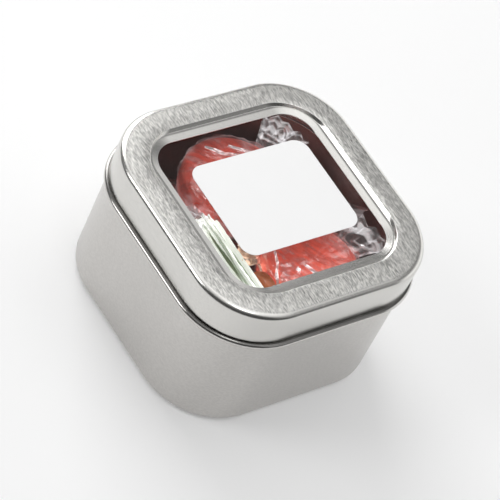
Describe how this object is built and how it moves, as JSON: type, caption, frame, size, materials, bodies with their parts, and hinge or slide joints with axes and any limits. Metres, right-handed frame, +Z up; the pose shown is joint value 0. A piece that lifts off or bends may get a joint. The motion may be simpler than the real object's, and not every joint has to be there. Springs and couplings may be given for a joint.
{
  "type": "window lid tin",
  "caption": "Square sheet-metal tin with rounded corners and a lift-off slip lid that holds a clear window, filled with wrapped boiled sweets.",
  "frame": {"origin": "on the table, under the middle of the tin's base", "axes": "+Z up out of the closed lid; X and Y square to the side walls, with the label's long side along Y"},
  "size_m": [0.0624, 0.0624, 0.0385],
  "materials": {
    "tinplate_body": "satin drawn tinplate with a fine grain",
    "tinplate_lid": "satin drawn tinplate, short straight brush marks on the top",
    "tinplate_inside": "plain tinplate",
    "clear_pane": "clear plastic sheet, glossy",
    "label_paper": "blank white coated paper, matt",
    "red_sweet": "translucent boiled sugar",
    "amber_sweet": "translucent boiled sugar",
    "mint_sweet": "boiled sugar",
    "clear_film": "clear crinkled wrapping film"
  },
  "bodies": {
    "base": {"base_shell": "tinplate_body", "sweets_layer_1": "red_sweet", "sweets_layer_2": "red_sweet", "left_red_sweet": "red_sweet", "left_wrapper": "clear_film", "right_red_sweet": "red_sweet", "right_wrapper": "clear_film", "amber_sweet": "amber_sweet", "mint_sweet": "mint_sweet", "pleated_wrapper": "clear_film"},
    "lid": {"lid_frame": "tinplate_lid", "window_retainer": "tinplate_inside", "window_pane": "clear_pane", "label": "label_paper"}
  },
  "joints": [
    {"name": "lid_lift", "type": "slide", "parent": "base", "child": "lid", "axis": [0, 0, 1], "range_m": [0, 0.035]}
  ]
}
